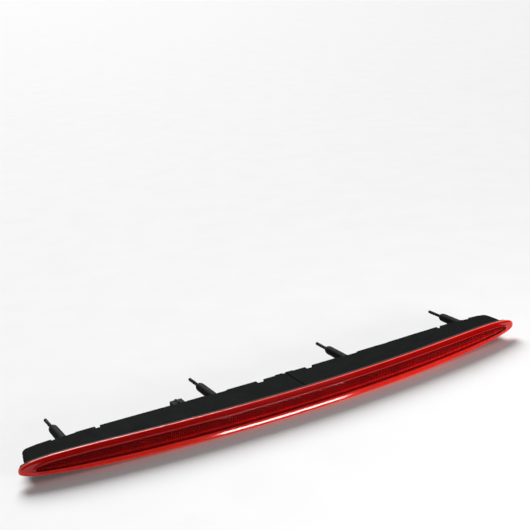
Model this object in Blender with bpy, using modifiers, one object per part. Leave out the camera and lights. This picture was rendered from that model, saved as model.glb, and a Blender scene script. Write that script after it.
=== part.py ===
"""Third brake light for a boot lid: a long bowed lamp with four studs on its back.

The lens faces -Y and the studs point along +Y. The origin is the middle of the locating pad
on the housing's rear wall. Each object is one separate piece of the lamp.
"""

import math

import bmesh
import bpy
from mathutils import Matrix, Vector

# ---- driving dimensions ---------------------------------------------------------------------
LENS_HALF_LENGTH = 0.4125
LENS_HALF_HEIGHT = 0.019
LENS_BOW = 0.0381  # how far the lens's ends lie behind its middle
DEPTH = 0.0689  # from the lens's rear rim to the locating pad, at mid-length
LED_COUNT = 16
LED_PITCH = 0.046
BOARD_COUNT = 4
STUD_PITCH = 0.225
STUD_HEIGHT = 0.0053
STUD_SEAT_Y = 0.0573  # where the sleeves end and the body panel bears
STUD_RADIUS = 0.0025  # M5
STUD_FREE_LENGTH = 0.0325
GAP = 0.0003  # clearance kept between touching pieces
WALL = 0.0022  # moulded wall of the housing and the lens

# ---- outline of the lens, seen from the front -----------------------------------------------
TOP_SHAPE = (7.9, 2.6)  # a nearly straight upper edge that turns down close to the tip
BOTTOM_SHAPE = (2.95, 2.6)  # a lower edge that sweeps up over the last third
OUTLINE_STEPS = 24

# ---- section of the lens, from the window's middle out to the rim, then back inside ----------
# Each row: inset from the tips, the top and the bottom edge, then crown at the top and bottom.
LENS_SKIN = [
    (0.0450, 0.0150, 0.0170, 0.0079, 0.0079),
    (0.0206, 0.0087, 0.0114, 0.0074, 0.0074),
    (0.0200, 0.0082, 0.0109, 0.0067, 0.0067),
    (0.0183, 0.0069, 0.0096, 0.0064, 0.0062),
    (0.0178, 0.0065, 0.0092, 0.0058, 0.0053),
    (0.0090, 0.0034, 0.0046, 0.0045, 0.0066),
    (0.0040, 0.0016, 0.0020, 0.0037, 0.0059),
    (0.0012, 0.0005, 0.0006, 0.0030, 0.0042),
    (0.0, 0.0, 0.0, 0.0024, 0.0026),
    (0.0, 0.0, 0.0, 0.0, 0.0),
    (0.0024, 0.0024, 0.0024, 0.0, 0.0),
    (0.0026, 0.0026, 0.0026, 0.0010, 0.0010),
    (0.0085, 0.0050, 0.0065, 0.0026, 0.0036),
    (0.0186, 0.0080, 0.0106, 0.0037, 0.0032),
    (0.0215, 0.0104, 0.0130, 0.0052, 0.0052),
    (0.0450, 0.0148, 0.0168, 0.0056, 0.0056),
]

# ---- housing --------------------------------------------------------------------------------
HOUSING_HALF_LENGTH = 0.396
HOUSING_TIP = 0.405  # where the upper and lower walls would meet past the end walls
HOUSING_HALF_HEIGHT = 0.0154
REAR_WALL_Y = -0.002
REAR_BOW = 0.0125
CORNER_RADIUS = 0.009
FLANGE_MARGIN = 0.0015
FLANGE_THICKNESS = 0.0025
PAD_HALF_WIDTH = 0.015
STUD_BAY_HALF_WIDTH = 0.017
STUD_BAY_DEPTH = 0.0025
LAND_HALF_WIDTH = 0.0105  # flat lands under the connector and the breather
LAND_DEPTH = 0.0006
WIDE_NOTCH = (0.0415, 0.0061, 0.007)  # distance from the middle, half width, depth
NARROW_NOTCH = (0.290, 0.0036, 0.006)
GROOVE_HALF_WIDTH = 0.003
GROOVE_DEPTH = 0.0012
GROOVE_FRONT = 0.009  # where the groove starts, behind the lens's rear rim
RIB_THICKNESS = 0.002
RIB_TOP = 0.004

# ---- light unit, placed by its depth behind the lens's rear rim ------------------------------
OPTIC_SIZE = (0.3880, 0.0104, 0.0082)  # half length, height above and below the middle
OPTIC_FRONT = -0.0026
OPTIC_REAR = 0.004
OPTIC_WALL = 0.0016
CARRIER_SIZE = (0.385, 0.0128)
CARRIER_FRONT = 0.005
CARRIER_THICKNESS = 0.0015
BOARD_SIZE = (0.178, 0.0016, 0.0136)
BOARD_DEPTH = 0.0087
LED_BASE = (0.0056, 0.0028, 0.0056)
LED_DOME_RADIUS = 0.0025
LED_DOME_HEIGHT = 0.0022
CUP_RADII = (0.0046, 0.0062)
SCREW_OFFSET = 0.046
SCREW_RADIUS = 0.0013
SCREW_HOLE_RADIUS = 0.0016

# ---- connector and breather -----------------------------------------------------------------
SOCKET_X = -0.168
SOCKET_Z = 0.0065
SOCKET_SIZE = (0.018, 0.0155, 0.014)
SOCKET_CAVITY = (0.0138, 0.0130, 0.0098)
SPIGOT_SIZE = (0.009, 0.0074)
SEAL_THICKNESS = 0.0012
TERMINAL_SIZE = (0.0008, 0.0170, 0.0028)
TERMINAL_OFFSET = 0.003
BREATHER_X = 0.178


def clear_scene():
    """Removes the startup scene's objects."""
    for obj in list(bpy.data.objects):
        bpy.data.objects.remove(obj)


def new_collection(name):
    """Makes a collection in the scene and returns it."""
    made = bpy.data.collections.new(name)
    bpy.context.scene.collection.children.link(made)
    return made


clear_scene()
LAMP = new_collection("third_brake_light")
CUTTERS = new_collection("cutters")


def plastic(name, colour, roughness, metallic=0.0, transmission=0.0):
    """A Principled material."""
    made = bpy.data.materials.new(name)
    made.use_nodes = True
    shader = made.node_tree.nodes["Principled BSDF"]
    shader.inputs["Base Color"].default_value = (*colour, 1.0)
    shader.inputs["Roughness"].default_value = roughness
    shader.inputs["Metallic"].default_value = metallic
    shader.inputs["Transmission Weight"].default_value = transmission
    return made


RED_LENS = plastic("red_lens", (0.62, 0.01, 0.01), 0.08, transmission=0.8)
OPTIC_RED = plastic("optic_red", (0.42, 0.02, 0.015), 0.15, transmission=0.5)
BLACK_ABS = plastic("black_abs", (0.018, 0.019, 0.020), 0.55)
CARRIER_GREY = plastic("carrier_grey", (0.05, 0.05, 0.055), 0.45)
RUBBER = plastic("rubber", (0.012, 0.012, 0.012), 0.8)
BOARD = plastic("board", (0.015, 0.06, 0.03), 0.4)
LED_CLEAR = plastic("led_clear", (0.75, 0.12, 0.10), 0.12, transmission=0.5)
STEEL = plastic("black_steel", (0.05, 0.05, 0.052), 0.35, metallic=1.0)
BRIGHT_STEEL = plastic("bright_steel", (0.62, 0.62, 0.64), 0.3, metallic=1.0)
TIN = plastic("tin", (0.78, 0.77, 0.74), 0.3, metallic=1.0)
CERAMIC = plastic("ceramic", (0.03, 0.03, 0.035), 0.5)
WIRE_RED = plastic("wire_red", (0.45, 0.02, 0.02), 0.5)
WIRE_BLACK = plastic("wire_black", (0.02, 0.02, 0.02), 0.5)


def add_mesh(name, mesh, material=None, collection=LAMP, parent=None):
    """Adds a mesh object to a collection."""
    obj = bpy.data.objects.new(name, mesh)
    collection.objects.link(obj)
    if material:
        mesh.materials.clear()
        mesh.materials.append(material)
    obj.parent = parent
    return obj


def from_bmesh(name, shape, material=None, collection=LAMP, parent=None, smooth=False):
    """Turns a bmesh into an object with its normals pointing out."""
    bmesh.ops.recalc_face_normals(shape, faces=shape.faces)
    mesh = bpy.data.meshes.new(name)
    shape.to_mesh(mesh)
    shape.free()
    if smooth:
        mesh.shade_smooth()
        mesh.set_sharp_from_angle(angle=math.radians(30))
    return add_mesh(name, mesh, material, collection, parent)


def as_cutter(obj):
    """Marks an object as a helper that is never part of the lamp."""
    obj.hide_render = True
    obj.display_type = "WIRE"
    return obj


def combine(obj, other, operation):
    """Adds a Boolean modifier that takes a helper from, to or with an object."""
    modifier = obj.modifiers.new(f"{operation.lower()}_{other.name}", "BOOLEAN")
    modifier.operation = operation
    modifier.object = as_cutter(other)


def box(name, size, centre, material=None, collection=LAMP, parent=None):
    """A box from a unit cube."""
    shape = bmesh.new()
    bmesh.ops.create_cube(shape, size=1.0)
    bmesh.ops.scale(shape, vec=Vector(size), verts=shape.verts)
    bmesh.ops.translate(shape, vec=Vector(centre), verts=shape.verts)
    return from_bmesh(name, shape, material, collection, parent)


def rod(name, front_radius, rear_radius, y_front, y_rear, x=0.0, z=0.0, sides=16, **where):
    """A cylinder or cone along +Y, from y_front to y_rear."""
    shape = bmesh.new()
    bmesh.ops.create_cone(
        shape,
        cap_ends=True,
        segments=sides,
        radius1=front_radius,
        radius2=rear_radius,
        depth=y_rear - y_front,
        matrix=Matrix.Rotation(math.radians(-90), 4, "X"),
    )
    middle = Vector((x, (y_front + y_rear) / 2, z))
    bmesh.ops.translate(shape, vec=middle, verts=shape.verts)
    return from_bmesh(name, shape, smooth=True, **where)


def turned(name, profile, x, z, material, sides=16, parent=None):
    """A closed (radius, y) profile turned round a line along Y through (x, z)."""
    mesh = bpy.data.meshes.new(name)
    points = [(radius, y, 0.0) for radius, y in reversed(profile)]
    loop = [(i, (i + 1) % len(points)) for i in range(len(points))]
    mesh.from_pydata(points, loop, [])
    obj = add_mesh(name, mesh, material, parent=parent)
    obj.location = (x, 0.0, z)
    screw = obj.modifiers.new("turn", "SCREW")
    screw.axis = "Y"
    screw.steps = sides
    screw.render_steps = sides
    screw.use_merge_vertices = True
    screw.merge_threshold = 0.00001
    return obj


def rim_y(x):
    """Where the lens's rear rim lies in depth, at a place along the lamp."""
    return -DEPTH + LENS_BOW * (x / LENS_HALF_LENGTH) ** 2


def rim_slope(x):
    """The rim's slope in plan."""
    return 2 * LENS_BOW * x / LENS_HALF_LENGTH**2


def outline(half_length, top, bottom, steps=OUTLINE_STEPS):
    """(x, z) points round the lamp's front shape: along the top, then back along the bottom."""
    def edge(t, shape):
        power, root = shape
        return max(0.0, 1.0 - abs(t) ** power) ** (1.0 / root)

    stations = [math.sin(math.pi / 2 * (2 * i / steps - 1)) for i in range(steps + 1)]
    upper = [(t * half_length, top * edge(t, TOP_SHAPE)) for t in stations]
    lower = [(t * half_length, -bottom * edge(t, BOTTOM_SHAPE)) for t in stations[1:-1]]
    return upper + lower[::-1]


def ring(half_length, top, bottom, top_depth, bottom_depth):
    """An outline laid on the lamp's bow, behind the lens's rear rim by a depth for each edge."""
    points = []
    for x, z in outline(half_length, top, bottom):
        lowness = 0.5 - 0.5 * z / (top if z > 0 else bottom)
        depth = top_depth + (bottom_depth - top_depth) * lowness
        points.append(Vector((x, rim_y(x) + depth, z)))
    return points


def level_ring(half_length, half_height, depth):
    """A ring with the same height and depth at its upper and lower edge."""
    return ring(half_length, half_height, half_height, depth, depth)


def loft(name, rings, material, closed=False, collection=LAMP, smooth=True):
    """Joins rings of equal counts. The end rings are capped unless the section is closed."""
    shape = bmesh.new()
    rows = [[shape.verts.new(point) for point in points] for points in rings]
    count = len(rows[0])
    pairs = list(zip(rows, rows[1:]))
    if closed:
        pairs.append((rows[-1], rows[0]))
    for near, far in pairs:
        for i in range(count):
            j = (i + 1) % count
            shape.faces.new((near[i], near[j], far[j], far[i]))
    if not closed:
        for row in (rows[0], rows[-1]):
            cap(shape, row)
    return from_bmesh(name, shape, material, collection, smooth=smooth)


def cap(shape, row):
    """Closes a ring with strips between its upper and lower points."""
    last = OUTLINE_STEPS
    lower = [row[0]] + row[:last:-1] + [row[last]]
    for i in range(last):
        corners = (row[i], row[i + 1], lower[i + 1], lower[i])
        shape.faces.new(list(dict.fromkeys(corners)))


def make_outer_lens():
    """The red outer lens, open at the back: a raised window, with a chin along its lower side."""
    length, height = LENS_HALF_LENGTH, LENS_HALF_HEIGHT
    rings = [
        ring(length - ends, height - top, height - bottom, -top_crown, -bottom_crown)
        for ends, top, bottom, top_crown, bottom_crown in LENS_SKIN
    ]
    return loft("outer_lens", rings, RED_LENS)


def make_inner_optic():
    """The fluted optic behind the window: a shallow channel that is open at the back."""
    length, top, bottom = OPTIC_SIZE
    wall = OPTIC_WALL
    steps = [
        (0.0006, OPTIC_FRONT),
        (0.0, OPTIC_FRONT + 0.0006),
        (0.0, OPTIC_REAR),
        (wall, OPTIC_REAR),
        (wall, OPTIC_FRONT + wall),
    ]
    rings = [
        ring(length - inset, top - inset, bottom - inset, depth, depth) for inset, depth in steps
    ]
    return loft("inner_optic", rings, OPTIC_RED)


def stud_places():
    """The studs' places along the lamp."""
    return [(i - 1.5) * STUD_PITCH for i in range(4)]


def rear_y(x):
    """The rear wall's outer face, away from its bays and notches."""
    return REAR_WALL_Y + REAR_BOW * (x / HOUSING_HALF_LENGTH) ** 2


def bay_y(x):
    """The flat floor of a stud's bay in the rear wall."""
    return rear_y(x) - STUD_BAY_DEPTH


def land_y(x):
    """The flat land that the connector or the breather sits on."""
    return rear_y(x) - LAND_DEPTH


def rear_features():
    """(middle, half width, y of the floor) of each bay, notch and pad, from left to right."""
    found = [(0.0, PAD_HALF_WIDTH, 0.0)]
    found += [(x, STUD_BAY_HALF_WIDTH, bay_y(x)) for x in stud_places()]
    found += [(x, LAND_HALF_WIDTH, land_y(x)) for x in (SOCKET_X, BREATHER_X)]
    for middle, half_width, depth in (WIDE_NOTCH, NARROW_NOTCH):
        found += [(s * middle, half_width, rear_y(middle) - depth) for s in (-1, 1)]
    return sorted(found)


def plan_outline(inset, front):
    """The housing's shape from above, inset all round but at the front, which is a function of x."""
    end = HOUSING_HALF_LENGTH - inset
    radius = CORNER_RADIUS - inset
    rear = []
    for middle, half_width, floor in rear_features():
        raised = floor > rear_y(middle)
        half = half_width - inset if raised else half_width + inset
        for x in (middle - half, middle + half):
            outside = rear_y(x) - inset
            pair = [(x, outside), (x, floor - inset)]
            rear += pair if x < middle else pair[::-1]
    corner_y = rear_y(end) - inset - radius
    arc = [math.radians(90 * i / 5) for i in range(6)]
    right = [(end - radius + radius * math.sin(a), corner_y + radius * math.cos(a)) for a in arc]
    left = [(-x, y) for x, y in right][::-1]
    steps = OUTLINE_STEPS
    across = [end * (1 - 2 * i / steps) for i in range(steps + 1)]
    return left + rear + right + [(x, front(x)) for x in across]


def prism(name, points, half_thickness, along="Z"):
    """A flat outline as a filled 2D curve with an extrude, turned into a mesh helper."""
    curve = bpy.data.curves.new(name, "CURVE")
    curve.dimensions = "2D"
    curve.fill_mode = "BOTH"
    curve.extrude = half_thickness
    spline = curve.splines.new("POLY")
    spline.points.add(len(points) - 1)
    for point, (u, v) in zip(spline.points, points):
        point.co = (u, v, 0.0, 1.0)
    spline.use_cyclic_u = True
    flat = bpy.data.objects.new(name + "_curve", curve)
    CUTTERS.objects.link(flat)
    if along == "Y":
        flat.rotation_euler.x = math.radians(90)
    bpy.context.view_layer.update()
    graph = bpy.context.evaluated_depsgraph_get()
    mesh = bpy.data.meshes.new_from_object(flat.evaluated_get(graph))
    shape = bmesh.new()
    shape.from_mesh(mesh)
    bmesh.ops.remove_doubles(shape, verts=shape.verts, dist=0.00001)
    bmesh.ops.transform(shape, matrix=flat.matrix_world, verts=shape.verts)
    bpy.data.objects.remove(flat)
    bpy.data.meshes.remove(mesh)
    return from_bmesh(name, shape, None, CUTTERS)


def solved(obj, name, material, collection=LAMP):
    """A helper with its modifiers applied, under a new name. The helper itself is removed."""
    bpy.context.view_layer.update()
    graph = bpy.context.evaluated_depsgraph_get()
    mesh = bpy.data.meshes.new_from_object(obj.evaluated_get(graph))
    bpy.data.objects.remove(obj)
    return add_mesh(name, mesh, material, collection)


def make_housing():
    """The black housing: a deep tray with a flange behind the lens, bays, notches and ribs."""
    height = HOUSING_HALF_HEIGHT
    length = HOUSING_TIP
    flange_front = GAP
    flange_rear = GAP + FLANGE_THICKNESS
    body = prism("housing_plan", plan_outline(0.0, lambda x: rim_y(x) + 0.001), 0.05)
    combine(body, prism("housing_front", outline(length, height, height), 0.2, "Y"), "INTERSECT")
    housing = solved(body, "housing", BLACK_ABS)
    flange_size = (LENS_HALF_LENGTH - FLANGE_MARGIN, LENS_HALF_HEIGHT - FLANGE_MARGIN)
    flange_rings = [level_ring(*flange_size, depth) for depth in (flange_front, flange_rear)]
    combine(housing, loft("flange", flange_rings, None, collection=CUTTERS), "UNION")
    inside = prism("cavity_plan", plan_outline(WALL, lambda x: rim_y(x) - 0.02), 0.05)
    hollow = outline(length - WALL, height - WALL, height - WALL)
    combine(inside, prism("cavity_front", hollow, 0.2, "Y"), "INTERSECT")
    combine(housing, solved(inside, "cavity", None, CUTTERS), "DIFFERENCE")
    add_inner_ribs(housing)
    cut_groove(housing)
    cut_rear_holes(housing)
    return housing


def add_inner_ribs(housing):
    """Ribs that stand between the boards and carry the light unit."""
    front = CARRIER_FRONT + CARRIER_THICKNESS + GAP
    floor = -HOUSING_HALF_HEIGHT + WALL / 2
    for i, x in enumerate((-2 * LED_PITCH * 2, 0.0, 2 * LED_PITCH * 2)):
        y_front = rim_y(x) + front
        y_rear = rear_y(x) - WALL / 2
        size = (RIB_THICKNESS, y_rear - y_front, RIB_TOP - floor)
        middle = (x, (y_front + y_rear) / 2, (RIB_TOP + floor) / 2)
        combine(housing, box(f"rib_{i}", size, middle, collection=CUTTERS), "UNION")


def cut_groove(housing):
    """The channel across the middle of the top wall, with the wall made thicker under it."""
    top = HOUSING_HALF_HEIGHT
    y_front = rim_y(0.0) + GROOVE_FRONT
    y_rear = rear_y(0.0)
    length = y_rear - y_front
    backing = (0.011, length, 0.003)
    under = (0.0, (y_front + y_rear) / 2 - 0.0015, top - WALL - 0.0005)
    combine(housing, box("groove_backing", backing, under, collection=CUTTERS), "UNION")
    channel = (2 * GROOVE_HALF_WIDTH, length + 0.01, 2 * GROOVE_DEPTH)
    over = (0.0, (y_front + y_rear) / 2 + 0.005, top)
    combine(housing, box("groove", channel, over, collection=CUTTERS), "DIFFERENCE")


def cut_rear_holes(housing):
    """Holes in the rear wall for the studs, the connector and the breather."""
    for i, x in enumerate(stud_places(), 1):
        hole = rod(f"stud_hole_{i}", STUD_RADIUS + GAP, STUD_RADIUS + GAP, bay_y(x) - 0.01,
                   bay_y(x) + 0.01, x, STUD_HEIGHT, collection=CUTTERS)
        combine(housing, hole, "DIFFERENCE")
    width, tall = SPIGOT_SIZE
    size = (width + 2 * GAP, 0.02, tall + 2 * GAP)
    middle = (SOCKET_X, land_y(SOCKET_X), SOCKET_Z)
    combine(housing, box("socket_hole", size, middle, collection=CUTTERS), "DIFFERENCE")
    y = land_y(BREATHER_X)
    hole = rod("breather_hole", 0.0023, 0.0023, y - 0.01, y + 0.01, BREATHER_X,
               collection=CUTTERS)
    combine(housing, hole, "DIFFERENCE")


def make_body_gasket():
    """The foam ring behind the flange, which seals the lamp to the body panel."""
    thickness = 0.003
    front = 2 * GAP + FLANGE_THICKNESS
    inner = (HOUSING_HALF_LENGTH + 0.0012, HOUSING_HALF_HEIGHT + 0.0006)
    outer = (LENS_HALF_LENGTH - 0.0020, LENS_HALF_HEIGHT - 0.0017)
    rings = [
        level_ring(*outer, front),
        level_ring(*outer, front + thickness),
        level_ring(*inner, front + thickness),
        level_ring(*inner, front),
    ]
    hole = prism("gasket_hole", plan_outline(-0.0004, lambda x: rim_y(x) - 0.02), 0.05)
    length = LENS_HALF_LENGTH - (LENS_HALF_HEIGHT - HOUSING_HALF_HEIGHT)
    height = HOUSING_HALF_HEIGHT + 0.0004
    tall = outline(length + 0.0004, height, height)
    combine(hole, prism("gasket_hole_front", tall, 0.2, "Y"), "INTERSECT")
    gasket = loft("body_gasket", rings, RUBBER, closed=True, smooth=False)
    combine(gasket, solved(hole, "gasket_cut", None, CUTTERS), "DIFFERENCE")
    return gasket


def board_frames():
    """An empty at the middle of each board's front face, turned to follow the bow."""
    frames = []
    per_board = LED_COUNT // BOARD_COUNT
    for i in range(BOARD_COUNT):
        x = (i - (BOARD_COUNT - 1) / 2) * per_board * LED_PITCH
        frame = bpy.data.objects.new(f"board_frame_{i + 1}", None)
        LAMP.objects.link(frame)
        frame.location = (x, rim_y(x) + BOARD_DEPTH, 0.0)
        frame.rotation_euler.z = math.atan(rim_slope(x))
        frames.append(frame)
    return frames


def led_offsets():
    """The LEDs' places on one board."""
    per_board = LED_COUNT // BOARD_COUNT
    return [(i - (per_board - 1) / 2) * LED_PITCH for i in range(per_board)]


def make_led_carrier(frames):
    """The plate in front of the boards, with a flared cup for each LED and posts for screws."""
    rear = CARRIER_FRONT + CARRIER_THICKNESS
    rings = [level_ring(*CARRIER_SIZE, CARRIER_FRONT), level_ring(*CARRIER_SIZE, rear)]
    carrier = loft("led_carrier", rings, CARRIER_GREY, smooth=False)
    helpers = {"collection": CUTTERS}
    for frame in frames:
        label = frame.name[-1]
        for side, x in (("l", -SCREW_OFFSET), ("r", SCREW_OFFSET)):
            post = rod(f"post_{label}{side}", 0.0035, 0.0035, rear - BOARD_DEPTH - 0.0003, -GAP,
                       x, parent=frame, **helpers)
            combine(carrier, post, "UNION")
        for side, x in (("l", -SCREW_OFFSET), ("r", SCREW_OFFSET)):
            hole = rod(f"post_hole_{label}{side}", SCREW_HOLE_RADIUS, SCREW_HOLE_RADIUS, -0.01,
                       0.002, x, sides=10, parent=frame, **helpers)
            combine(carrier, hole, "DIFFERENCE")
        for i, x in enumerate(led_offsets()):
            cup = rod(f"cup_{label}{i}", CUP_RADII[1], CUP_RADII[0], -0.0060, -0.0008, x,
                      parent=frame, **helpers)
            combine(carrier, cup, "DIFFERENCE")
    return carrier


def make_board(frame, number):
    """A printed circuit board with its LEDs, screws and a series resistor on the back."""
    length, thickness, tall = BOARD_SIZE
    size = (length, thickness, tall)
    board = box(f"circuit_board_{number}", size, (0, thickness / 2, 0), BOARD, parent=frame)
    for side, x in (("l", -SCREW_OFFSET), ("r", SCREW_OFFSET)):
        hole = rod(f"board_hole_{number}{side}", SCREW_HOLE_RADIUS, SCREW_HOLE_RADIUS, -0.005,
                   0.005, x, sides=10, collection=CUTTERS, parent=frame)
        combine(board, hole, "DIFFERENCE")
    first = (number - 1) * len(led_offsets())
    for i, x in enumerate(led_offsets(), 1):
        make_led(f"led_{first + i:02d}", x, frame)
    for i, x in enumerate((-SCREW_OFFSET, SCREW_OFFSET), 1):
        make_screw(f"board_screw_{2 * (number - 1) + i}", x, thickness, frame)
    resistor_size = (0.0064, 0.0008, 0.0032)
    middle = (0.006, thickness + GAP + resistor_size[1] / 2, -0.005)
    box(f"board_resistor_{number}", resistor_size, middle, CERAMIC, parent=frame)


def make_led(name, x, frame):
    """A four-legged LED: a square base with a round dome, on the board's front."""
    wide, deep, tall = LED_BASE
    front = -GAP - deep
    led = box(name, LED_BASE, (x, -GAP - deep / 2, 0), LED_CLEAR, parent=frame)
    steps = 4
    angles = [math.pi / 2 * i / steps for i in range(steps)]
    dome = [(LED_DOME_RADIUS * math.cos(a), front - LED_DOME_HEIGHT * math.sin(a)) for a in angles]
    profile = [(0.0, front - LED_DOME_HEIGHT)] + dome[::-1] + [(LED_DOME_RADIUS, front + 0.001),
                                                              (0.0, front + 0.001)]
    cutter = turned(f"{name}_dome", profile, x, 0.0, None, sides=12, parent=frame)
    LAMP.objects.unlink(cutter)
    CUTTERS.objects.link(cutter)
    combine(led, cutter, "UNION")


def make_screw(name, x, board_rear, frame):
    """A pan-head screw through the board into the carrier's post, with a cross recess."""
    seat = board_rear + GAP
    tip = -0.0028
    profile = [(0.0, tip), (SCREW_RADIUS, tip + 0.0006), (SCREW_RADIUS, seat), (0.0027, seat),
               (0.0027, seat + 0.0011), (0.0018, seat + 0.0018), (0.0, seat + 0.0018)]
    screw = turned(name, profile, x, 0.0, BRIGHT_STEEL, sides=12, parent=frame)
    for label, size in (("a", (0.0032, 0.0016, 0.0006)), ("b", (0.0006, 0.0016, 0.0032))):
        slot = box(f"{name}_slot_{label}", size, (x, seat + 0.0018, 0), collection=CUTTERS,
                   parent=frame)
        combine(screw, slot, "DIFFERENCE")


def make_polarity_diode(frame):
    """The diode that guards the lamp against reversed supply, on the second board's back."""
    size = (0.0046, 0.0022, 0.0028)
    middle = (-0.030, BOARD_SIZE[1] + GAP + size[1] / 2, -0.005)
    box("polarity_diode", size, middle, CERAMIC, parent=frame)


def tube(name, points, radius, material):
    """A wire along a POLY spline."""
    curve = bpy.data.curves.new(name, "CURVE")
    curve.dimensions = "3D"
    curve.bevel_depth = radius
    curve.bevel_resolution = 1
    curve.use_fill_caps = True
    spline = curve.splines.new("POLY")
    spline.points.add(len(points) - 1)
    for point, place in zip(spline.points, points):
        point.co = (*place, 1.0)
    curve.materials.append(material)
    obj = bpy.data.objects.new(name, curve)
    LAMP.objects.link(obj)
    return obj


def smooth_path(route, steps):
    """Points on a Catmull-Rom curve through a route's own points."""
    ends = [2 * route[0] - route[1], *route, 2 * route[-1] - route[-2]]
    path = []
    for a, b, c, d in zip(ends, ends[1:], ends[2:], ends[3:]):
        for i in range(steps):
            t = i / steps
            path.append(0.5 * (2 * b + (c - a) * t + (2 * a - 5 * b + 4 * c - d) * t**2
                               + (3 * b - a - 3 * c + d) * t**3))
    return path + [route[-1]]


def make_board_links(frames):
    """A jumper between each pair of boards, arched clear of the rib between them."""
    bpy.context.view_layer.update()
    radius = 0.0006
    back = BOARD_SIZE[1] + GAP + radius
    reach = BOARD_SIZE[0] / 2
    for i, (left, right) in enumerate(zip(frames, frames[1:]), 1):
        start = left.matrix_world @ Vector((reach - 0.006, back, 0.005))
        lift = left.matrix_world @ Vector((reach - 0.001, back + 0.0025, 0.005))
        land = right.matrix_world @ Vector((0.001 - reach, back + 0.0025, 0.005))
        end = right.matrix_world @ Vector((0.006 - reach, back, 0.005))
        path = smooth_path([start, lift, land, end], 3)
        tube(f"board_link_{i}", path, radius, WIRE_BLACK)


def make_feed_wires(frame):
    """The two leads from the connector's terminals to the second board."""
    bpy.context.view_layer.update()
    radius = 0.0008
    start_y = land_y(SOCKET_X) - WALL - 0.0033
    for name, side, material in (("feed_wire_positive", -1, WIRE_RED),
                                 ("feed_wire_ground", 1, WIRE_BLACK)):
        x = SOCKET_X + side * TERMINAL_OFFSET
        pad = Vector((0.010 + 0.004 * side - BOARD_SIZE[0] / 2, BOARD_SIZE[1] + GAP, 0.002))
        end = frame.matrix_world @ pad
        route = [
            Vector((x, start_y, SOCKET_Z)),
            Vector((x, start_y - 0.008, SOCKET_Z)),
            Vector((x + 0.006, start_y - 0.020, SOCKET_Z + 0.001)),
            end + Vector((0.0, 0.009, 0.001)),
            end,
        ]
        tube(name, smooth_path(route, 4), radius, material)


def make_studs():
    """Four bolts pushed through the rear wall from inside, each with a spacer sleeve."""
    thread = STUD_RADIUS
    bore = thread + GAP
    for number, x in enumerate(stud_places(), 1):
        seat = bay_y(x)
        head = seat - WALL - GAP
        end = STUD_SEAT_Y + STUD_FREE_LENGTH
        bolt = [(0.0, head - 0.0028), (0.0055, head - 0.0018), (0.0055, head), (thread, head),
                (thread, end - 0.0008), (thread - 0.0008, end), (0.0, end)]
        turned(f"mounting_stud_{number}", bolt, x, STUD_HEIGHT, STEEL)
        foot = seat + GAP
        sleeve = [(bore, foot), (0.0088, foot), (0.0082, foot + 0.0020), (0.0070, foot + 0.0050),
                  (0.0066, foot + 0.014), (0.0057, STUD_SEAT_Y - 0.0030),
                  (0.0051, STUD_SEAT_Y - 0.0008), (0.0046, STUD_SEAT_Y), (bore, STUD_SEAT_Y)]
        turned(f"spacer_sleeve_{number}", sleeve, x, STUD_HEIGHT, BLACK_ABS)


def make_connector():
    """The two-pole socket on the rear wall, its seal and its blades."""
    wide, deep, tall = SOCKET_SIZE
    wall_y = land_y(SOCKET_X)
    base = wall_y + SEAL_THICKNESS + 3 * GAP
    centre = (SOCKET_X, base + deep / 2, SOCKET_Z)
    socket = box("connector_socket", SOCKET_SIZE, centre, BLACK_ABS)
    spigot_wide, spigot_tall = SPIGOT_SIZE
    spigot_front = wall_y - WALL - 0.001
    spigot = (spigot_wide, base + 0.001 - spigot_front, spigot_tall)
    middle = (SOCKET_X, (base + 0.001 + spigot_front) / 2, SOCKET_Z)
    combine(socket, box("spigot", spigot, middle, collection=CUTTERS), "UNION")
    key = (0.0032, deep - 0.003, 0.0024)
    above = (SOCKET_X, base + deep / 2 + 0.0015, SOCKET_Z + tall / 2)
    combine(socket, box("key", key, above, collection=CUTTERS), "UNION")
    hollow_deep = SOCKET_CAVITY[1] + 0.01
    hollow = (SOCKET_CAVITY[0], hollow_deep, SOCKET_CAVITY[2])
    mouth = (SOCKET_X, base + deep - SOCKET_CAVITY[1] + hollow_deep / 2, SOCKET_Z)
    combine(socket, box("socket_cavity", hollow, mouth, collection=CUTTERS), "DIFFERENCE")
    blade_front = spigot_front - 0.002
    for name, side in (("terminal_positive", -1), ("terminal_ground", 1)):
        x = SOCKET_X + side * TERMINAL_OFFSET
        blade_middle = (x, blade_front + TERMINAL_SIZE[1] / 2, SOCKET_Z)
        slot_size = [size + 2 * GAP for size in TERMINAL_SIZE]
        slot = box(f"{name}_slot", slot_size, blade_middle, collection=CUTTERS)
        combine(socket, slot, "DIFFERENCE")
        box(name, TERMINAL_SIZE, blade_middle, TIN)
    seal_middle = (SOCKET_X, wall_y + 1.5 * GAP + SEAL_THICKNESS / 2, SOCKET_Z)
    seal = box("socket_seal", (wide, SEAL_THICKNESS, tall), seal_middle, RUBBER)
    opening = (spigot_wide + 2 * GAP, 0.01, spigot_tall + 2 * GAP)
    combine(seal, box("seal_opening", opening, seal_middle, collection=CUTTERS), "DIFFERENCE")


def make_breather():
    """The rubber cap that lets the lamp breathe."""
    foot = land_y(BREATHER_X) + GAP + 0.0002
    stem = foot - WALL - 0.0025
    profile = [(0.0, stem), (0.0018, stem), (0.0018, foot), (0.0055, foot),
               (0.0055, foot + 0.0035), (0.0042, foot + 0.0048), (0.0, foot + 0.0048)]
    turned("breather_cap", profile, BREATHER_X, 0.0, RUBBER)


def main():
    """Builds every piece."""
    make_outer_lens()
    make_inner_optic()
    frames = board_frames()
    make_led_carrier(frames)
    for number, frame in enumerate(frames, 1):
        make_board(frame, number)
    make_polarity_diode(frames[1])
    make_board_links(frames)
    make_feed_wires(frames[1])
    make_housing()
    make_body_gasket()
    make_studs()
    make_connector()
    make_breather()


main()
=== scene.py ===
"""The looks of the third brake light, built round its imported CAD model.

Lengths are in metres in the CAD's own frame: the lens faces -Y, the studs point along +Y.
"""

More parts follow.
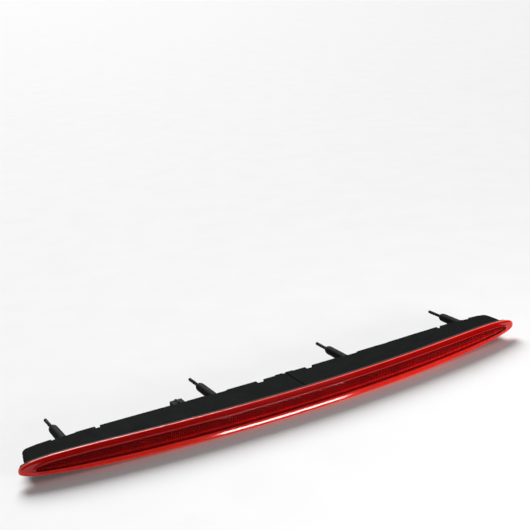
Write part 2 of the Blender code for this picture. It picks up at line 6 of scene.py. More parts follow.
import math

import bmesh  # noqa: E402
import bpy  # noqa: E402
from mathutils import Matrix, Vector  # noqa: E402


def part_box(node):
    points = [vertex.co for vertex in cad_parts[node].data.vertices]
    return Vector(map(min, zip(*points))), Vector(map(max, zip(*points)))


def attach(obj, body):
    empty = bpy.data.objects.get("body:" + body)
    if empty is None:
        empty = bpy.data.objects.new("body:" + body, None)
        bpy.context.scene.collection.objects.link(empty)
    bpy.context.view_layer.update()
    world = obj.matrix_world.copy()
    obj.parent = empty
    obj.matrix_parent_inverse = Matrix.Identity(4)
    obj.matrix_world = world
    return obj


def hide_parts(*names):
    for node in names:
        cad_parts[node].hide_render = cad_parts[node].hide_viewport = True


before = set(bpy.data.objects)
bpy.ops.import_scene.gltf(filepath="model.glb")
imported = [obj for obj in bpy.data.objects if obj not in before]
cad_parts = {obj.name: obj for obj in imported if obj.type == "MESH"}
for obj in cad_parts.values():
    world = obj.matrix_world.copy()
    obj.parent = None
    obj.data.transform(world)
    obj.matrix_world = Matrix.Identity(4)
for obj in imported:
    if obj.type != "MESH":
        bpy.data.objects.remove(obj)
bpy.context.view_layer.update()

# ---- sizes read from the frame ----------------------------------------------------------------
LENS_LOW, LENS_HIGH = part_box("outer_lens")
OPTIC_LOW, OPTIC_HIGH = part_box("inner_optic")
HALF_LENGTH = (LENS_HIGH.x - LENS_LOW.x) / 2
HALF_HEIGHT = (LENS_HIGH.z - LENS_LOW.z) / 2
CROWN = 0.0079  # how far the window stands in front of the lens's rear rim
RIM_AT_MIDDLE = LENS_LOW.y + CROWN
BOW = LENS_HIGH.y - RIM_AT_MIDDLE
LED_COUNT = 16
BOARD_COUNT = 4
SCREW_COUNT = 8
STUD_COUNT = 4
LED_PITCH = (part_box(f"led_{LED_COUNT:02d}")[0].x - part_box("led_01")[0].x) / (LED_COUNT - 1)

TOP_SHAPE = (7.9, 2.6)  # power and root of the outline's upper edge
BOTTOM_SHAPE = (2.95, 2.6)  # and of its lower edge


# ---- geometry helpers -------------------------------------------------------------------------
def rim_y(x):
    """Where the lens's rear rim lies in depth, at a place along the lamp."""
    return RIM_AT_MIDDLE + BOW * (x / HALF_LENGTH) ** 2


def edge_height(t, shape):
    """The share of the full height that the outline has at t, from -1 to 1 along the lamp."""
    power, root = shape
    return max(0.0, 1.0 - abs(t) ** power) ** (1.0 / root)


def outline(half_length, top, bottom, steps):
    """(x, z) points round the front shape: along the top, then back along the bottom."""
    stations = [math.sin(math.pi / 2 * (2 * i / steps - 1)) for i in range(steps + 1)]
    upper = [(t * half_length, top * edge_height(t, TOP_SHAPE)) for t in stations]
    lower = [(t * half_length, -bottom * edge_height(t, BOTTOM_SHAPE)) for t in stations[1:-1]]
    return upper + lower[::-1]


def ring(half_length, top, bottom, top_depth, bottom_depth, steps):
    """An outline laid on the lamp's bow, behind the lens's rear rim by a depth for each edge."""
    points = []
    for x, z in outline(half_length, top, bottom, steps):
        lowness = 0.5 - 0.5 * z / (top if z > 0 else bottom)
        depth = top_depth + (bottom_depth - top_depth) * lowness
        points.append(Vector((x, rim_y(x) + depth, z)))
    return points


def cap(shape, row, steps):
    """Closes a ring with strips between its upper and lower points."""
    lower = [row[0]] + row[:steps:-1] + [row[steps]]
    for i in range(steps):
        corners = (row[i], row[i + 1], lower[i + 1], lower[i])
        shape.faces.new(list(dict.fromkeys(corners)))


def finish_mesh(name, shape, materials, angle=30.0):
    """Turns a bmesh into a smooth-shaded piece."""
    bmesh.ops.recalc_face_normals(shape, faces=shape.faces)
    mesh = bpy.data.meshes.new(name)
    shape.to_mesh(mesh)
    shape.free()
    for material in materials:
        mesh.materials.append(material)
    mesh.shade_smooth()
    mesh.set_sharp_from_angle(angle=math.radians(angle))
    piece = bpy.data.objects.new(name, mesh)
    bpy.context.scene.collection.objects.link(piece)
    return piece


def stands_for(piece, slot, *nodes):
    """The piece is shown in place of CAD nodes."""
    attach(piece, "root")
    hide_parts(*nodes)


# ---- material helpers -------------------------------------------------------------------------
def new_material(name):
    """A node material with its tree and its Principled shader."""
    material = bpy.data.materials.new(name)
    material.use_nodes = True
    tree = material.node_tree
    return material, tree, tree.nodes["Principled BSDF"]


def object_coordinates(tree):
    """The object's own coordinates, which are the frame's, in metres."""
    return tree.nodes.new("ShaderNodeTexCoord").outputs["Object"]


def noise(tree, scale, detail=3.0, stretch=None):
    """A noise value between 0 and 1. The scale is in features per metre."""
    node = tree.nodes.new("ShaderNodeTexNoise")
    node.inputs["Scale"].default_value = scale
    node.inputs["Detail"].default_value = detail
    source = object_coordinates(tree)
    if stretch:
        mapping = tree.nodes.new("ShaderNodeMapping")
        mapping.inputs["Scale"].default_value = stretch
        tree.links.new(source, mapping.inputs["Vector"])
        source = mapping.outputs["Vector"]
    tree.links.new(source, node.inputs["Vector"])
    return node.outputs["Fac"]


def ramp(tree, value, stops):
    """A colour ramp over a value. Each stop is (position, (r, g, b))."""
    node = tree.nodes.new("ShaderNodeValToRGB")
    elements = node.color_ramp.elements
    while len(elements) < len(stops):
        elements.new(0.5)
    for element, (position, colour) in zip(elements, stops):
        element.position = position
        element.color = (*colour, 1.0)
    tree.links.new(value, node.inputs["Fac"])
    return node.outputs["Color"]


def spread(tree, value, low, high):
    """Maps a value from 0..1 to low..high."""
    node = tree.nodes.new("ShaderNodeMapRange")
    node.inputs["To Min"].default_value = low
    node.inputs["To Max"].default_value = high
    tree.links.new(value, node.inputs["Value"])
    return node.outputs["Result"]


def bump(tree, shader, heights):
    """Adds bumps to a shader. Each height is (value, distance in metres)."""
    normal = None
    for value, distance in heights:
        node = tree.nodes.new("ShaderNodeBump")
        node.inputs["Strength"].default_value = 1.0
        node.inputs["Distance"].default_value = distance
        tree.links.new(value, node.inputs["Height"])
        if normal:
            tree.links.new(normal, node.inputs["Normal"])
        normal = node.outputs["Normal"]
    tree.links.new(normal, shader.inputs["Normal"])


CLOUD_SCALE = 45  # these scales are in features per metre, as noise() takes them
SHEEN_SCALE = 160
WAVE_SCALE = 30
GRAIN_DEPTH = 0.00002
WAVE_DEPTH = 0.00004
MARK_DEPTH = 0.00001


def moulded_plastic(name, dark, light, roughness, grain_scale=1400, gloss=0.2):
    """Textured moulded plastic: fine spark-eroded grain, slight waves and a cloudy sheen."""
    material, tree, shader = new_material(name)
    clouds = noise(tree, CLOUD_SCALE, 4)
    tree.links.new(ramp(tree, clouds, [(0.3, dark), (0.75, light)]), shader.inputs["Base Color"])
    sheen = spread(tree, noise(tree, SHEEN_SCALE, 3), roughness[0], roughness[1])
    tree.links.new(sheen, shader.inputs["Roughness"])
    shader.inputs["Specular IOR Level"].default_value = gloss
    grain, waves = noise(tree, grain_scale, 2), noise(tree, WAVE_SCALE, 2)
    bump(tree, shader, [(grain, GRAIN_DEPTH), (waves, WAVE_DEPTH)])
    return material


def metal(name, dark, light, roughness, stretch=(1, 1, 1), scale=500):
    """Plated or oxidised metal with fine drawn marks."""
    material, tree, shader = new_material(name)
    shader.inputs["Metallic"].default_value = 1.0
    marks = noise(tree, scale, 4, stretch)
    tree.links.new(ramp(tree, marks, [(0.3, dark), (0.7, light)]), shader.inputs["Base Color"])
    shine = spread(tree, noise(tree, scale / 3, 3, stretch), roughness[0], roughness[1])
    tree.links.new(shine, shader.inputs["Roughness"])
    bump(tree, shader, [(marks, MARK_DEPTH)])
    return material


def attribute(tree, name):
    """A number stored on the mesh's points."""
    node = tree.nodes.new("ShaderNodeAttribute")
    node.attribute_name = name
    return node.outputs["Fac"]


def multiplied(tree, first, second):
    """One colour darkened by another."""
    node = tree.nodes.new("ShaderNodeMix")
    node.data_type = "RGBA"
    node.blend_type = "MULTIPLY"
    node.inputs["Factor"].default_value = 1.0
    tree.links.new(first, node.inputs["A"])
    tree.links.new(second, node.inputs["B"])
    return node.outputs["Result"]


def painted_light_along_x(tree, left, right):
    """A grey of painted light that changes steadily from the lamp's left end to its right end."""
    split = tree.nodes.new("ShaderNodeSeparateXYZ")
    tree.links.new(object_coordinates(tree), split.inputs["Vector"])
    share = tree.nodes.new("ShaderNodeMapRange")
    share.inputs["From Min"].default_value = -HALF_LENGTH
    share.inputs["From Max"].default_value = HALF_LENGTH
    tree.links.new(split.outputs["X"], share.inputs["Value"])
    return ramp(tree, share.outputs["Result"], [(0.0, (left,) * 3), (1.0, (right,) * 3)])


def painted_glow(tree, shader, colour, strength):
    """Colours a shader and lets it give off a little of that colour: a painted glow for room light
    passing through the acrylic.
    """
    tree.links.new(colour, shader.inputs["Base Color"])
    tree.links.new(colour, shader.inputs["Emission Color"])
    shader.inputs["Emission Strength"].default_value = strength


# ---- materials --------------------------------------------------------------------------------
ACRYLIC_INDEX = 1.49
WINDOW_INDEX = 1.10  # lower than acrylic's, so that the pale floor's reflection hides less
EPOXY_INDEX = 1.52
# strengths of the painted glow on the border and on the optic
BORDER_PAINTED_GLOW, OPTIC_PAINTED_GLOW = 0.34, 0.30
BORDER_PAINTED_LIGHT_ENDS = (0.62, 0.98)  # painted light: how light each is painted at the lamp's left and right ends
OPTIC_PAINTED_LIGHT_ENDS = (0.5, 2.2)


def lens_border_material():
    """Thick red acrylic, painted from dark red shade to a pale pink highlight by a value on its
    points.
    """
    material, tree, shader = new_material("lens_border")
    # painted light and shade: dark red where the border is in shade, bright red where it is lit,
    # pale pink painted highlights along the edges
    painted_red = ramp(tree, attribute(tree, "painted_shading"), [
        (0.00, (0.020, 0.0005, 0.0005)),
        (0.25, (0.330, 0.0012, 0.0012)),
        (0.50, (0.600, 0.0030, 0.0020)),
        (0.75, (0.850, 0.0200, 0.0050)),
        (0.92, (0.930, 0.1000, 0.0500)),
        (1.00, (0.920, 0.3000, 0.2800)),
    ])
    cloud = ramp(tree, noise(tree, 60, 3), [(0.3, (0.84, 0.84, 0.84)), (0.7, (1.0, 1.0, 1.0))])
    # painted light: lighter towards the lamp's right end
    colour = multiplied(tree, multiplied(tree, painted_red, cloud), painted_light_along_x(tree, *BORDER_PAINTED_LIGHT_ENDS))
    # a painted glow in the same colour
    painted_glow(tree, shader, colour, BORDER_PAINTED_GLOW)
    shader.inputs["Roughness"].default_value = 0.08
    shader.inputs["Transmission Weight"].default_value = 0.15
    shader.inputs["IOR"].default_value = ACRYLIC_INDEX
    shader.inputs["Specular IOR Level"].default_value = 0.5
    bump(tree, shader, [(noise(tree, 90, 2), 0.00002)])
    return material


def lens_window_material():
    """Clear red acrylic in front of the optic."""
    material, tree, shader = new_material("lens_window")
    tint = ramp(tree, noise(tree, 70, 3), [(0.3, (0.60, 0.022, 0.022)), (0.7, (0.70, 0.030, 0.028))])
    tree.links.new(tint, shader.inputs["Base Color"])
    shader.inputs["Roughness"].default_value = 0.04
    shader.inputs["Transmission Weight"].default_value = 0.94
    shader.inputs["IOR"].default_value = WINDOW_INDEX
    shader.inputs["Specular IOR Level"].default_value = 0.15
    bump(tree, shader, [(noise(tree, 90, 2), 0.00001)])
    return material


def optic_material():
    """Deep red fluted acrylic: painted shade in the valleys, a painted highlight where the ribs
    catch the light.
    """
    material, tree, shader = new_material("optic_flutes")
    # painted shade in the valleys, rising to a near-white painted highlight on the crests
    painted_rib_colour = ramp(tree, attribute(tree, "painted_rib_light"), [
        (0.0, (0.008, 0.0005, 0.0005)),
        (0.4, (0.060, 0.0020, 0.0020)),
        (0.8, (0.640, 0.0200, 0.0150)),
        (0.9, (0.950, 0.9000, 0.8500)),
    ])
    cloud = ramp(tree, noise(tree, 40, 3), [(0.3, (0.70, 0.70, 0.70)), (0.7, (1.0, 1.0, 1.0))])
    # painted light: the ribs are painted lighter towards the lamp's right end
    colour = multiplied(tree, multiplied(tree, painted_rib_colour, cloud), painted_light_along_x(tree, *OPTIC_PAINTED_LIGHT_ENDS))
    # a painted glow in the same colour
    painted_glow(tree, shader, colour, OPTIC_PAINTED_GLOW)
    shader.inputs["Roughness"].default_value = 0.20
    shader.inputs["IOR"].default_value = ACRYLIC_INDEX
    shader.inputs["Specular IOR Level"].default_value = 0.2
    bump(tree, shader, [(noise(tree, 300, 2), 0.00001)])
    return material


def board_material():
    """Green solder mask with faint traces under it."""
    material, tree, shader = new_material("solder_mask")
    traces = noise(tree, 260, 1, (0.25, 1.0, 1.0))
    mask = ramp(tree, traces, [(0.47, (0.010, 0.055, 0.024)), (0.53, (0.020, 0.095, 0.040))])
    tree.links.new(mask, shader.inputs["Base Color"])
    tree.links.new(spread(tree, noise(tree, 400), 0.3, 0.45), shader.inputs["Roughness"])
    bump(tree, shader, [(traces, 0.00002)])
    return material


def foam_material():
    """Closed-cell foam rubber with open pores on its cut faces."""
    material, tree, shader = new_material("foam_rubber")
    cells = tree.nodes.new("ShaderNodeTexVoronoi")
    cells.inputs["Scale"].default_value = 1600
    tree.links.new(object_coordinates(tree), cells.inputs["Vector"])
    distance = cells.outputs["Distance"]
    # darker in the pores: painted shade in them
    shade = ramp(tree, distance, [(0.1, (0.006, 0.006, 0.006)), (0.6, (0.022, 0.022, 0.023))])
    tree.links.new(shade, shader.inputs["Base Color"])
    shader.inputs["Roughness"].default_value = 0.92
    bump(tree, shader, [(distance, 0.00012)])
    return material


def led_material():
    """Clear epoxy with a pink cast."""
    material, tree, shader = new_material("led_epoxy")
    tint = ramp(tree, noise(tree, 500, 2), [(0.3, (0.70, 0.30, 0.26)), (0.7, (0.82, 0.44, 0.38))])
    tree.links.new(tint, shader.inputs["Base Color"])
    shader.inputs["Roughness"].default_value = 0.12
    shader.inputs["Transmission Weight"].default_value = 0.35
    shader.inputs["IOR"].default_value = EPOXY_INDEX
    return material


LENS_BORDER = lens_border_material()
LENS_WINDOW = lens_window_material()
OPTIC = optic_material()
ABS = moulded_plastic("black_abs", (0.0045, 0.0055, 0.0052), (0.0080, 0.0095, 0.0090), (0.72, 0.86),
                      gloss=0.015)
SLEEVE = moulded_plastic("sleeve_nylon", (0.006, 0.006, 0.007), (0.011, 0.011, 0.012), (0.60, 0.75),
                         gloss=0.04)
CARRIER = moulded_plastic("carrier_plastic", (0.035, 0.035, 0.040), (0.060, 0.060, 0.065),
                          (0.40, 0.55))
COMPONENT = moulded_plastic("component_resin", (0.018, 0.018, 0.020), (0.035, 0.035, 0.040),
                            (0.45, 0.60), grain_scale=3000)
RUBBER = moulded_plastic("soft_rubber", (0.010, 0.010, 0.010), (0.018, 0.018, 0.018), (0.65, 0.80))
RED_PVC = moulded_plastic("red_pvc", (0.36, 0.012, 0.012), (0.48, 0.020, 0.018), (0.30, 0.42))
BLACK_PVC = moulded_plastic("black_pvc", (0.012, 0.012, 0.012), (0.020, 0.020, 0.020), (0.30, 0.42))
FOAM = foam_material()
BOARD = board_material()
LED = led_material()
BLACK_STEEL = metal("black_oxide", (0.020, 0.020, 0.022), (0.055, 0.054, 0.052), (0.30, 0.45))
ZINC = metal("zinc_plate", (0.52, 0.53, 0.55), (0.70, 0.70, 0.70), (0.22, 0.36))
TIN = metal("tin_plate", (0.62, 0.61, 0.58), (0.80, 0.79, 0.76), (0.20, 0.34), (1.0, 0.1, 1.0))


# ---- lens -------------------------------------------------------------------------------------
# Each row: inset from the tips, the top and the bottom edge; crown at the top and the bottom; and
# the painted light and shade on the red at the top and the bottom, from 0 to 1.
WINDOW_SKIN = [
    (0.0450, 0.0150, 0.0170, 0.0079, 0.0079, 0.2, 0.2),
    (0.0330, 0.0118, 0.0144, 0.0078, 0.0078, 0.2, 0.2),
    (0.0250, 0.0100, 0.0126, 0.0076, 0.0076, 0.2, 0.2),
    (0.0215, 0.0092, 0.0118, 0.0074, 0.0074, 0.2, 0.2),
    (0.0208, 0.0089, 0.0115, 0.0072, 0.0072, 0.2, 0.2),
]
BORDER_SKIN = [
    (0.0205, 0.0087, 0.0113, 0.0067, 0.0067, 0.10, 0.20),
    (0.0202, 0.0085, 0.0111, 0.0064, 0.0064, 0.10, 0.20),
    (0.0198, 0.0082, 0.0108, 0.0063, 0.0063, 0.15, 0.25),
    (0.0194, 0.0079, 0.0105, 0.0065, 0.0065, 0.35, 0.45),
    (0.0190, 0.0076, 0.0102, 0.0068, 0.0068, 0.62, 0.70),
    (0.0186, 0.0073, 0.0099, 0.0068, 0.0068, 0.62, 0.70),
    (0.0182, 0.0070, 0.0096, 0.0064, 0.0063, 0.30, 0.45),
    (0.0179, 0.0067, 0.0093, 0.0058, 0.0055, 0.16, 0.35),
    (0.0172, 0.0063, 0.0088, 0.0055, 0.0051, 0.18, 0.45),
    (0.0150, 0.0054, 0.0080, 0.0051, 0.0051, 0.22, 0.60),
    (0.0120, 0.0044, 0.0066, 0.0046, 0.0056, 0.25, 0.68),
    (0.0090, 0.0034, 0.0050, 0.0042, 0.0062, 0.27, 0.72),
    (0.0065, 0.0026, 0.0040, 0.0038, 0.0065, 0.28, 0.76),
    (0.0045, 0.0019, 0.0029, 0.0035, 0.0064, 0.30, 0.80),
    (0.0028, 0.0012, 0.0018, 0.0032, 0.0057, 0.40, 0.84),
    (0.0015, 0.0007, 0.0010, 0.0030, 0.0048, 0.75, 0.90),
    (0.0006, 0.0003, 0.0004, 0.0027, 0.0038, 0.98, 0.92),
    (0.0000, 0.0000, 0.0000, 0.0024, 0.0030, 1.00, 0.90),
    (0.0000, 0.0000, 0.0000, 0.0012, 0.0014, 0.60, 0.80),
    (0.0003, 0.0003, 0.0003, 0.0000, 0.0000, 0.30, 0.60),
]
INNER_SKIN = [
    (0.0022, 0.0022, 0.0022, 0.0000, 0.0000, 0.2, 0.5),
    (0.0026, 0.0026, 0.0026, 0.0010, 0.0010, 0.2, 0.5),
    (0.0085, 0.0050, 0.0065, 0.0026, 0.0036, 0.2, 0.5),
    (0.0186, 0.0080, 0.0106, 0.0037, 0.0032, 0.2, 0.5),
    (0.0215, 0.0104, 0.0130, 0.0052, 0.0052, 0.2, 0.2),
    (0.0450, 0.0148, 0.0168, 0.0056, 0.0056, 0.2, 0.2),
]
RIM_ROWS = 3  # inner rows that are still the border's colour
LENS_STEPS = 200


def lens_ring(shape, painted_shading, section):
    """One ring of the lens's points, each with the painted light and shade on its red."""
    ends, top, bottom, top_crown, bottom_crown, top_shading, bottom_shading = section
    half_length, high, low = HALF_LENGTH - ends, HALF_HEIGHT - top, HALF_HEIGHT - bottom
    row = []
    for point in ring(half_length, high, low, -top_crown, -bottom_crown, LENS_STEPS):
        vert = shape.verts.new(point)
        lowness = 0.5 - 0.5 * point.z / (high if point.z > 0 else low)
        # painted light and shade, blended from the top to the bottom
        vert[painted_shading] = top_shading + (bottom_shading - top_shading) * lowness
        row.append(vert)
    return row


def make_lens():
    """The outer lens: window skin, border skin and inner skin in one closed shell."""
    shape = bmesh.new()
    # each point carries its painted light and shade
    painted_shading = shape.verts.layers.float.new("painted_shading")
    rows = [lens_ring(shape, painted_shading, section) for section in WINDOW_SKIN + BORDER_SKIN + INNER_SKIN]
    count = len(rows[0])
    border = range(len(WINDOW_SKIN) - 1, len(WINDOW_SKIN) + len(BORDER_SKIN) + RIM_ROWS - 1)
    for index, (near, far) in enumerate(zip(rows, rows[1:])):
        for i in range(count):
            j = (i + 1) % count
            face = shape.faces.new((near[i], near[j], far[j], far[i]))
            face.material_index = 1 if index in border else 0
    cap(shape, rows[0], LENS_STEPS)
    cap(shape, rows[-1], LENS_STEPS)
    lens = finish_mesh("lens_shell", shape, [LENS_WINDOW, LENS_BORDER], angle=40.0)
    stands_for(lens, "lens_red", "outer_lens")


# ---- optic ------------------------------------------------------------------------------------
FLUTES_PER_LED = 16
FLUTE_PITCH = LED_PITCH / FLUTES_PER_LED
POINTS_PER_FLUTE = 6
FLUTE_DEPTH = 0.0009
OPTIC_WALL = 0.0016
OPTIC_TIP = 0.0006  # the least height above and below the middle, at the optic's ends
OPTIC_ROWS = [0.0, 0.03, 0.08, 0.12, 0.16, 0.20, 0.3, 0.5, 0.7, 0.84, 0.92, 0.97, 1.0]
PAINTED_HIGHLIGHT_BAND = (0.1, 0.21)  # the share of the height where a painted highlight lies on the ribs
ROUNDING_RATE = 5.0  # how fast a rib rises from its end
END_RELIEF = 0.15  # and the square of the relief's share that it starts with


def painted_crest_light(share):
    """The painted light on a rib's crest at a share of the optic's height, from its lower edge."""
    low, high = PAINTED_HIGHLIGHT_BAND
    return 1.2 if low < share < high else 0.80 - 0.25 * share


def optic_skin(shape, painted_rib_light, ribbed):
    """The optic's ribbed front or its plain back, as columns of points."""
    half_length = (OPTIC_HIGH.x - OPTIC_LOW.x) / 2
    front = OPTIC_LOW.y - RIM_AT_MIDDLE + FLUTE_DEPTH
    columns = int(2 * half_length / FLUTE_PITCH) * POINTS_PER_FLUTE
    grid = []
    for i in range(columns + 1):
        x = -half_length + 2 * half_length * i / columns
        high = max(OPTIC_HIGH.z * edge_height(x / half_length, TOP_SHAPE), OPTIC_TIP)
        low = max(-OPTIC_LOW.z * edge_height(x / half_length, BOTTOM_SHAPE), OPTIC_TIP)
        wave = abs(math.sin(math.pi * x / FLUTE_PITCH))
        column = []
        for share in OPTIC_ROWS:
            rise = ROUNDING_RATE * min(share, 1.0 - share) + END_RELIEF
            rounding = math.sqrt(min(1.0, rise))
            depth = front - FLUTE_DEPTH * wave * rounding if ribbed else front + OPTIC_WALL
            vert = shape.verts.new((x, rim_y(x) + depth, -low + (high + low) * share))
            # painted light and shade on the ribs: dark valleys, lit crests
            vert[painted_rib_light] = wave * painted_crest_light(share)
            column.append(vert)
        grid.append(column)
    return grid


def join_skins(shape, outer, inner):
    """Faces over both skins of the optic and round their edges."""
    columns, last = len(outer) - 1, len(OPTIC_ROWS) - 1
    for grid, is_back in ((outer, False), (inner, True)):
        for i in range(columns):
            for j in range(last):
                corners = [grid[i][j], grid[i + 1][j], grid[i + 1][j + 1], grid[i][j + 1]]
                shape.faces.new(corners[::-1] if is_back else corners)
    for i in range(columns):
        for j in (0, last):
            shape.faces.new((outer[i][j], outer[i + 1][j], inner[i + 1][j], inner[i][j]))
    for i in (0, columns):
        for j in range(last):
            shape.faces.new((outer[i][j], outer[i][j + 1], inner[i][j + 1], inner[i][j]))


def make_optic():
    """The fluted optic: upright half-round ribs whose ends are rounded over."""
    shape = bmesh.new()
    painted_rib_light = shape.verts.layers.float.new("painted_rib_light")
    front = optic_skin(shape, painted_rib_light, True)
    back = optic_skin(shape, painted_rib_light, False)
    join_skins(shape, front, back)
    optic = finish_mesh("optic_flutes", shape, [OPTIC], angle=50.0)
    stands_for(optic, "optic_red", "inner_optic")


# ---- turned pieces ----------------------------------------------------------------------------
def lathe(name, profile, x, z, material, sides=48):
    """A (radius, y) profile turned round a line along Y. Its ends lie on the axis or meet."""
    shape = bmesh.new()
    rows = []
    for radius, y in profile:
        if radius == 0.0:
            rows.append([shape.verts.new((x, y, z))])
            continue
        angles = [2 * math.pi * i / sides for i in range(sides)]
        rows.append([
            shape.verts.new((x + radius * math.cos(a), y, z + radius * math.sin(a)))
            for a in angles
        ])
    closed = len(rows[0]) > 1
    pairs = list(zip(rows, rows[1:])) + ([(rows[-1], rows[0])] if closed else [])
    for near, far in pairs:
        for i in range(sides):
            j = (i + 1) % sides
            corners = (near[i % len(near)], near[j % len(near)], far[j % len(far)],
                       far[i % len(far)])
            shape.faces.new(list(dict.fromkeys(corners)))
    return finish_mesh(name, shape, [material], angle=35.0)


STUD_RADIUS = 0.0025
HEAD_THICKNESS = 0.0028
THREAD_PITCH = 0.0008
THREAD_DEPTH = 0.0004
SLEEVE_BORE = 0.0028


def make_stud(number):
    """A black M5 stud: a head inside the housing, a plain shank, and grooves for its thread."""
    node = f"mounting_stud_{number}"
    low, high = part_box(node)
    x, z = (low.x + high.x) / 2, (low.z + high.z) / 2
    head_radius = (high.x - low.x) / 2
    radius = STUD_RADIUS
    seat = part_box(f"spacer_sleeve_{number}")[1].y
    neck = low.y + HEAD_THICKNESS
    profile = [(0.0, low.y), (head_radius - 0.0006, low.y + 0.0008), (head_radius, low.y + 0.0016),
               (head_radius, neck), (radius, neck), (radius, seat - 0.004)]
    y = seat - 0.003
    while y < high.y - 0.0016:
        profile += [(radius - THREAD_DEPTH, y), (radius - THREAD_DEPTH * 0.9, y + 0.0001),
                    (radius, y + 0.00035), (radius, y + 0.00045)]
        y += THREAD_PITCH
    profile += [(radius - THREAD_DEPTH, y), (radius - 0.0005, high.y - 0.0006),
                (radius - 0.0010, high.y), (0.0, high.y)]
    stud = lathe(f"stud_{number}", profile, x, z, BLACK_STEEL, 32)
    stands_for(stud, "stud_steel", node)


def make_sleeve(number):
    """A tapered spacer sleeve with a flared foot and a rounded seat."""
    node = f"spacer_sleeve_{number}"
    low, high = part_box(node)
    x, z = (low.x + high.x) / 2, (low.z + high.z) / 2
    foot_radius = (high.x - low.x) / 2
    foot, seat, bore = low.y, high.y, SLEEVE_BORE
    profile = [
        (bore, foot), (foot_radius, foot), (foot_radius, foot + 0.0006),
        (0.0083, foot + 0.0018), (0.0077, foot + 0.0032), (0.0072, foot + 0.0050),
        (0.0070, foot + 0.0080), (0.0069, foot + 0.0140), (0.0068, seat - 0.0200),
        (0.0067, seat - 0.0080), (0.0065, seat - 0.0050), (0.0061, seat - 0.0030),
        (0.0055, seat - 0.0013), (0.0050, seat - 0.0004), (0.0045, seat),
        (bore + 0.0003, seat), (bore, seat - 0.0003),
    ]
    sleeve = lathe(f"sleeve_{number}", profile, x, z, SLEEVE)
    stands_for(sleeve, "sleeve_black", node)


CAP_HEIGHT = 0.0048
STEM_RADIUS = 0.0018


def make_breather():
    """The rubber breather cap, with a grip groove round it and a dimple on its end."""
    low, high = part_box("breather_cap")
    x, z = (low.x + high.x) / 2, (low.z + high.z) / 2
    radius = (high.x - low.x) / 2
    foot = high.y - CAP_HEIGHT
    groove = radius - 0.0005
    profile = [(0.0, low.y), (STEM_RADIUS, low.y), (STEM_RADIUS, foot), (radius, foot),
               (radius, foot + 0.0012), (groove, foot + 0.0016),
               (groove, foot + 0.0022), (radius, foot + 0.0026),
               (radius - 0.0002, foot + 0.0036), (radius - 0.0010, foot + 0.0046),
               (radius - 0.0018, high.y), (0.0022, high.y), (0.0016, high.y - 0.0008),
               (0.0, high.y - 0.0009)]
    cap_piece = lathe("breather", profile, x, z, RUBBER, 32)
    stands_for(cap_piece, "gasket_rubber", "breather_cap")


# ---- housing and the rest: the CAD solids in finished materials -------------------------------
SHARP_EDGE = math.radians(32.0)
SOCKET_EDGE = 0.0004
HOUSING_EDGE = 0.0005


def soften(node, width):
    """Rounds a CAD node's sharp edges with a modifier, which leaves its mesh alone."""
    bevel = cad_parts[node].modifiers.new("soft_edges", "BEVEL")
    bevel.width = width
    bevel.segments = 2
    bevel.limit_method = "ANGLE"
    bevel.angle_limit = SHARP_EDGE
    bevel.harden_normals = True


def dress(node, material):
    """Gives a CAD node a finished material."""
    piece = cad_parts[node]
    piece.data.materials.clear()
    piece.data.materials.append(material)


def dress_cad():
    """Materials for every CAD node that stays."""
    dress("housing", ABS)
    dress("body_gasket", FOAM)
    dress("led_carrier", CARRIER)
    dress("connector_socket", SLEEVE)
    dress("socket_seal", RUBBER)
    dress("polarity_diode", COMPONENT)
    dress("feed_wire_positive", RED_PVC)
    dress("feed_wire_ground", BLACK_PVC)
    for name in ("terminal_positive", "terminal_ground"):
        dress(name, TIN)
    for i in range(1, BOARD_COUNT + 1):
        dress(f"circuit_board_{i}", BOARD)
        dress(f"board_resistor_{i}", COMPONENT)
    for i in range(1, BOARD_COUNT):
        dress(f"board_link_{i}", BLACK_PVC)
    for i in range(1, SCREW_COUNT + 1):
        dress(f"board_screw_{i}", ZINC)
    for i in range(1, LED_COUNT + 1):
        dress(f"led_{i:02d}", LED)
    soften("connector_socket", SOCKET_EDGE)
    soften("housing", HOUSING_EDGE)


# ---- floor, lights and camera -----------------------------------------------------------------
FLOOR_RADIUS = 40.0  # wide enough for the floor to fill the main camera's picture
FLOOR_GAP = 0.0002  # keeps the floor's face clear of the lens's lowest edge
ROOM_LIGHT = 0.05


def make_floor():
    """A plain pale floor under the lamp's lower edge."""
    shape = bmesh.new()
    bmesh.ops.create_circle(shape, cap_ends=True, segments=96, radius=FLOOR_RADIUS)
    bmesh.ops.translate(shape, vec=Vector((0, 0, LENS_LOW.z - FLOOR_GAP)), verts=shape.verts)
    material, tree, shader = new_material("pale_floor")
    paper = ramp(tree, noise(tree, 12, 3), [(0.3, (0.86, 0.86, 0.86)), (0.7, (0.88, 0.88, 0.88))])
    tree.links.new(paper, shader.inputs["Base Color"])
    shader.inputs["Roughness"].default_value = 0.9
    finish_mesh("floor", shape, [material])


def area_light(name, place, target, size, power):
    """A soft rectangular light aimed at a point."""
    data = bpy.data.lights.new(name, "AREA")
    data.shape = "RECTANGLE"
    data.size, data.size_y = size
    data.energy = power
    light = bpy.data.objects.new(name, data)
    light.location = place
    aim = Vector(target) - Vector(place)
    light.rotation_euler = aim.to_track_quat("-Z", "Y").to_euler()
    bpy.context.scene.collection.objects.link(light)


def sun_light(name, towards, spread_angle, strength):
    """Even light from one side of the sky, softened by the angle that it spreads over."""
    data = bpy.data.lights.new(name, "SUN")
    data.angle = math.radians(spread_angle)
    data.energy = strength
    light = bpy.data.objects.new(name, data)
    light.rotation_euler = Vector(towards).to_track_quat("Z", "Y").to_euler()
    bpy.context.scene.collection.objects.link(light)


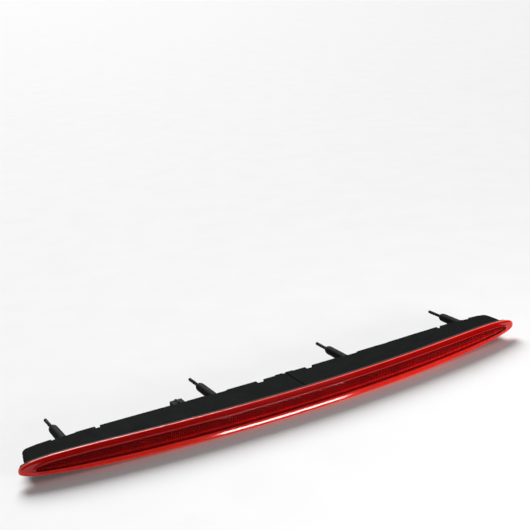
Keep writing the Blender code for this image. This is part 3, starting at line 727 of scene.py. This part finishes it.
# A sun's row is the way to it, the angle that its light spreads over, and its strength.
SUNS = {
    "overhead": ((0.05, -0.05, 1.0), 80, 0.34),
    "behind": ((0.20, 0.76, 0.58), 32, 4.3),
}
STRIP_PLACE = (0.545, -1.415, 0.265)
STRIP_TARGET = (0.0, -0.075, -0.012)
STRIP_SIZE = (0.62, 0.24)
STRIP_POWER = 12.5


def make_lights():
    """Even light from above and from behind, a long low softbox in front, and a dim room."""
    for name, (towards, spread_angle, strength) in SUNS.items():
        sun_light(name, towards, spread_angle, strength)
    area_light("front_strip", STRIP_PLACE, STRIP_TARGET, STRIP_SIZE, STRIP_POWER)
    world = bpy.data.worlds.new("pale_room")
    world.use_nodes = True
    background = world.node_tree.nodes["Background"]
    background.inputs["Color"].default_value = (0.95, 0.96, 1.0, 1.0)
    background.inputs["Strength"].default_value = ROOM_LIGHT
    bpy.context.scene.world = world


CAMERA_PLACE = (-0.6764, -1.2460, 0.6214)
CAMERA_YAW = 27.888  # degrees, as the next two are
CAMERA_PITCH = -17.171
CAMERA_ROLL = -4.397
FOCAL_LENGTH = 70.57  # millimetres, as the sensor's width is
SENSOR_WIDTH = 36.0


def make_camera():
    """The camera at the lamp's front left, looking a little down."""
    data = bpy.data.cameras.new("camera")
    data.lens = FOCAL_LENGTH
    data.sensor_width = SENSOR_WIDTH
    data.clip_start = 0.01
    camera = bpy.data.objects.new("camera", data)
    turn = Matrix.Rotation(math.radians(-CAMERA_YAW), 4, "Z")
    tilt = Matrix.Rotation(math.radians(90 + CAMERA_PITCH), 4, "X")
    roll = Matrix.Rotation(math.radians(CAMERA_ROLL), 4, "Z")
    camera.matrix_world = Matrix.Translation(CAMERA_PLACE) @ turn @ tilt @ roll
    bpy.context.scene.collection.objects.link(camera)
    bpy.context.scene.camera = camera


make_camera()
make_floor()
make_lights()
make_lens()
make_optic()
for stud_number in range(1, STUD_COUNT + 1):
    make_stud(stud_number)
    make_sleeve(stud_number)
make_breather()
dress_cad()
bpy.context.scene.view_settings.view_transform = "Standard"
